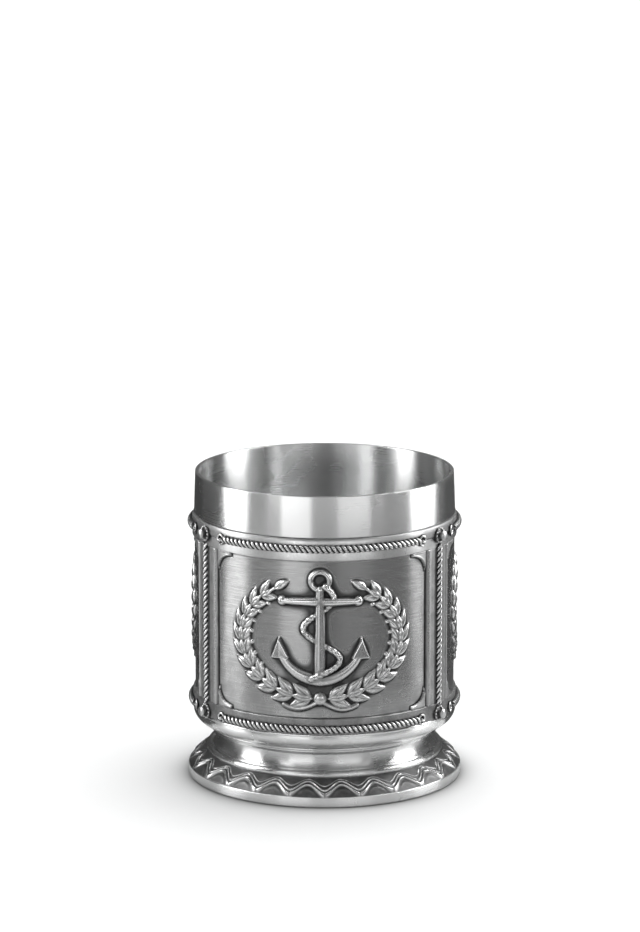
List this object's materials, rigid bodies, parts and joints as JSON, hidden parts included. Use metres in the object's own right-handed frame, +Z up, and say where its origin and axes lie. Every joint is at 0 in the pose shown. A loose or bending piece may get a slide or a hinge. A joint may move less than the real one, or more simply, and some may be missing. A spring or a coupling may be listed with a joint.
{
  "type": "whisky beaker",
  "caption": "Round pewter whisky beaker with a plain turned rim, a mantle of relief panels framed by rope mouldings, and a spread foot with a wave border.",
  "frame": {"origin": "middle of the foot's resting plane, on the beaker's axis", "axes": "+Z up along the beaker's axis, the front panel faces -Y, +X to the right of that panel"},
  "size_m": [0.0796, 0.0806, 0.09],
  "materials": {
    "satin_pewter": "satin turned pewter",
    "oxidised_pewter": "cast pewter, dark in the recesses and polished on the raised parts"
  },
  "bodies": {
    "root": {"cup_liner": "satin_pewter", "mantle_top_ring": "satin_pewter", "mantle_shoulder_ring": "satin_pewter", "neck_collar": "satin_pewter", "foot_casting": "oxidised_pewter", "relief_panel_front": "oxidised_pewter", "relief_panel_right": "oxidised_pewter", "relief_panel_left": "oxidised_pewter", "rope_rail_upper_front": "oxidised_pewter", "rope_rail_upper_right": "oxidised_pewter", "rope_rail_upper_left": "oxidised_pewter", "rope_rail_lower_front": "oxidised_pewter", "rope_rail_lower_right": "oxidised_pewter", "rope_rail_lower_left": "oxidised_pewter", "rope_post_right": "oxidised_pewter", "rope_post_left": "oxidised_pewter", "rope_post_back": "oxidised_pewter", "rosette_upper_right": "oxidised_pewter", "rosette_upper_left": "oxidised_pewter", "rosette_upper_back": "oxidised_pewter", "rosette_lower_right": "oxidised_pewter", "rosette_lower_left": "oxidised_pewter", "rosette_lower_back": "oxidised_pewter"}
  },
  "joints": []
}
